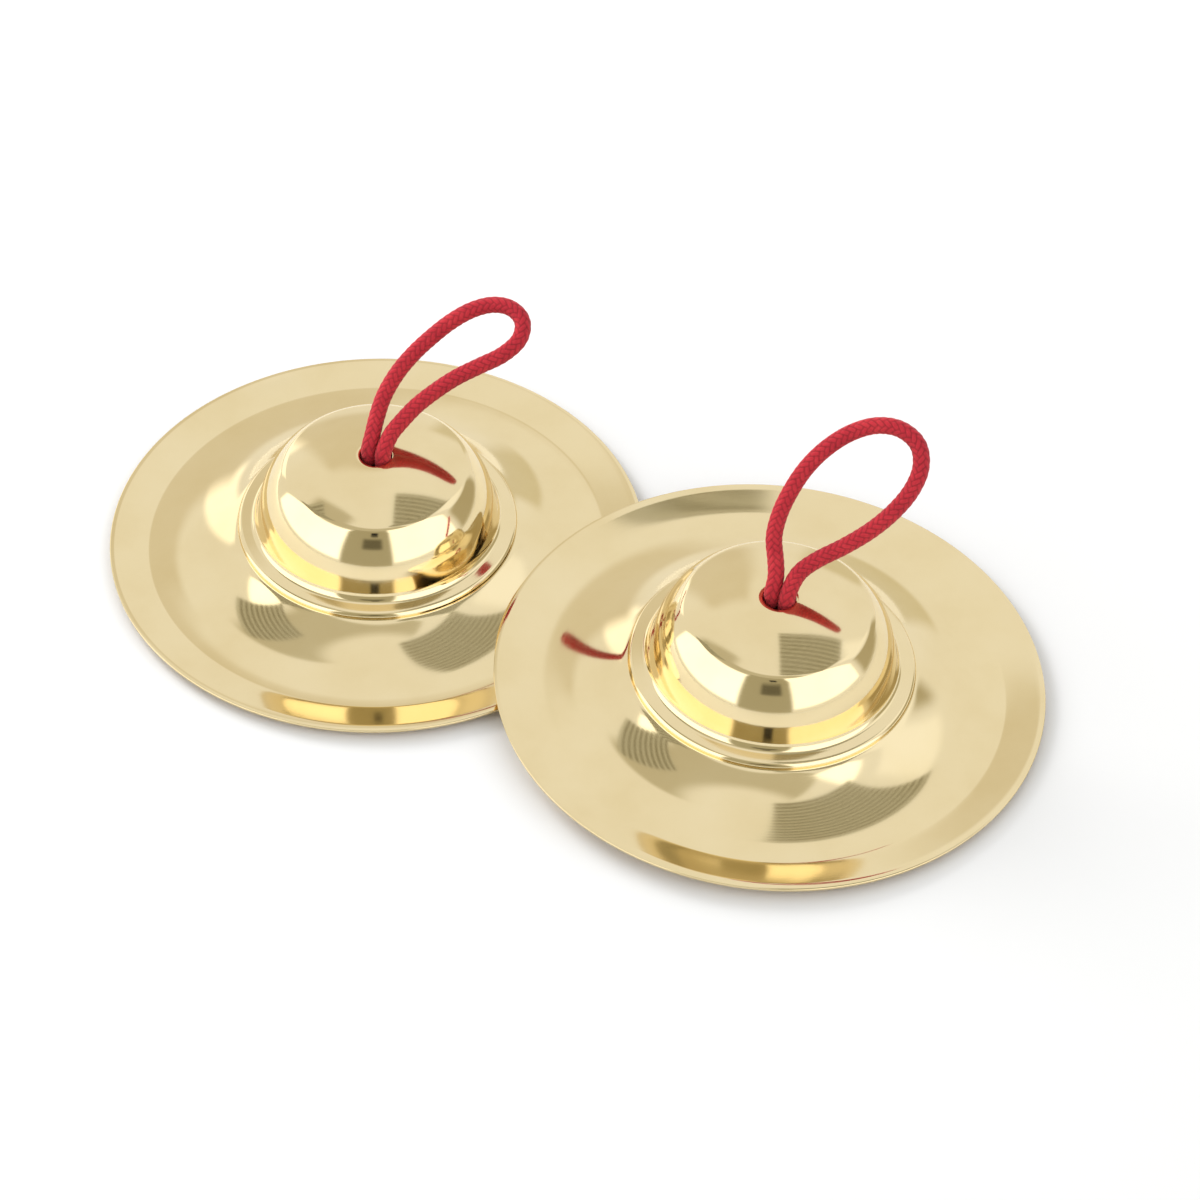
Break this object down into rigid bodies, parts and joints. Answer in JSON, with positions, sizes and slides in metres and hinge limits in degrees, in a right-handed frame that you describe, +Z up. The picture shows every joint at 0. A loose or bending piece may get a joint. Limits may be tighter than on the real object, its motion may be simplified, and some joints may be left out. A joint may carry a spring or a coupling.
{
  "type": "finger cymbals",
  "caption": "Thin spun brass hand cymbals with a hat-shaped bell, a wide bow and a turned-up rim, each on a red braided finger loop knotted inside the bell.",
  "frame": {"origin": "on the table, under the middle of the two plates", "axes": "+X from the rear cymbal to the front one, whose rim lies on the rear one's bow; +Z up"},
  "size_m": [0.181, 0.1, 0.0528],
  "materials": {
    "brass": "mirror polished, faint spinning lines",
    "cord": "round braided cotton cord, matte"
  },
  "bodies": {
    "rear_plate": {"rear_cymbal": "brass"},
    "front_plate": {"front_cymbal": "brass"},
    "rear_knot": {"rear_cord_knot": "cord", "rear_cord_tail_1": "cord", "rear_cord_tail_2": "cord"},
    "rear_loop": {"rear_cord_loop": "cord"},
    "front_knot": {"front_cord_knot": "cord", "front_cord_tail_1": "cord", "front_cord_tail_2": "cord"},
    "front_loop": {"front_cord_loop": "cord"}
  },
  "joints": [
    {"name": "front_lift", "type": "slide", "parent": "rear_plate", "child": "front_plate", "axis": [0, 0, 1], "range_m": [0, 0.06]},
    {"name": "rear_cord_turn", "type": "hinge", "parent": "rear_plate", "child": "rear_knot", "pos_m": [-0.04052, 0, 0.0229], "axis": [0, 0, 1], "continuous": true},
    {"name": "front_cord_turn", "type": "hinge", "parent": "front_plate", "child": "front_knot", "pos_m": [0.04123, 0, 0.02431], "axis": [0.0332, 0, 0.9995], "continuous": true},
    {"name": "rear_loop_lean", "type": "hinge", "parent": "rear_knot", "child": "rear_loop", "pos_m": [-0.04052, 0, 0.0244], "axis": [1, 0, 0], "range_deg": [-26, 134]},
    {"name": "front_loop_lean", "type": "hinge", "parent": "front_knot", "child": "front_loop", "pos_m": [0.04128, 0, 0.02581], "axis": [0.9995, 0, -0.0332], "range_deg": [-39, 121]}
  ]
}
